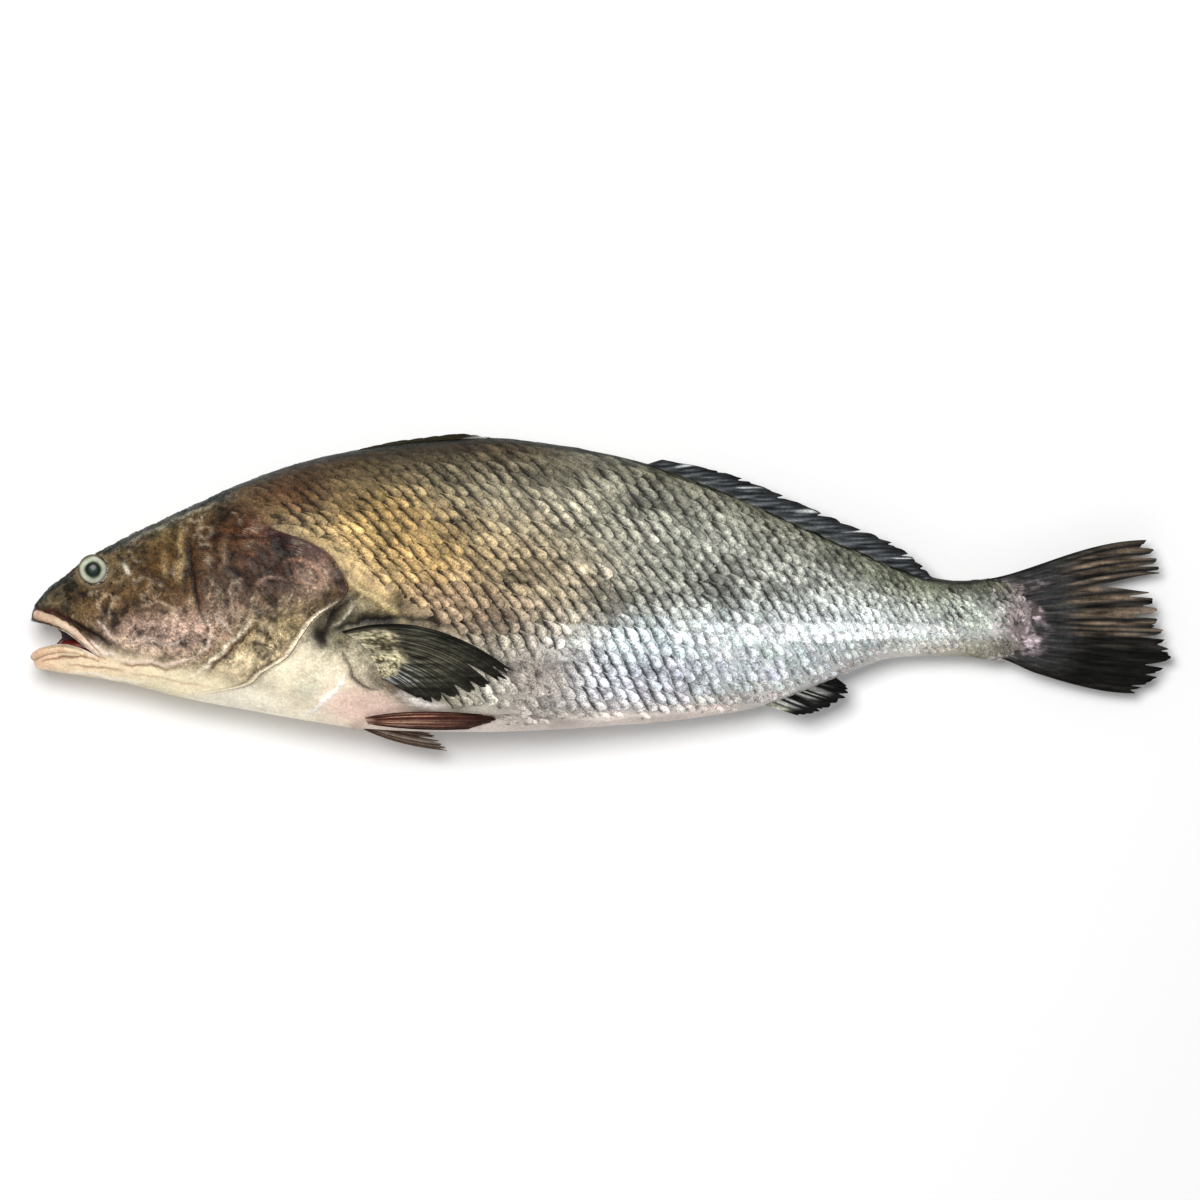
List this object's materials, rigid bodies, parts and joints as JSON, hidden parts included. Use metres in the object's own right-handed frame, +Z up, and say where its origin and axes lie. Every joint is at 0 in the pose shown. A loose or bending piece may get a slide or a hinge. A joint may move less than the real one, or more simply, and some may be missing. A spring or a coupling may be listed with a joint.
{
  "type": "whole raw fish",
  "caption": "Whole raw fish lying on its right side, with closed gill cover, open mouth, folded fins and a fan tail, as food on a table or counter.",
  "frame": {"origin": "under the middle of the fish, on the surface that it lies on", "axes": "+X from the head to the tail, +Y towards its back, +Z up out of its left flank"},
  "size_m": [0.7001, 0.1941, 0.0859],
  "materials": {
    "fish_skin": "wet scaled skin",
    "eye": "wet gloss"
  },
  "bodies": {
    "root": {"fish": "fish_skin", "eye_left": "eye", "eye_right": "eye"}
  },
  "joints": []
}
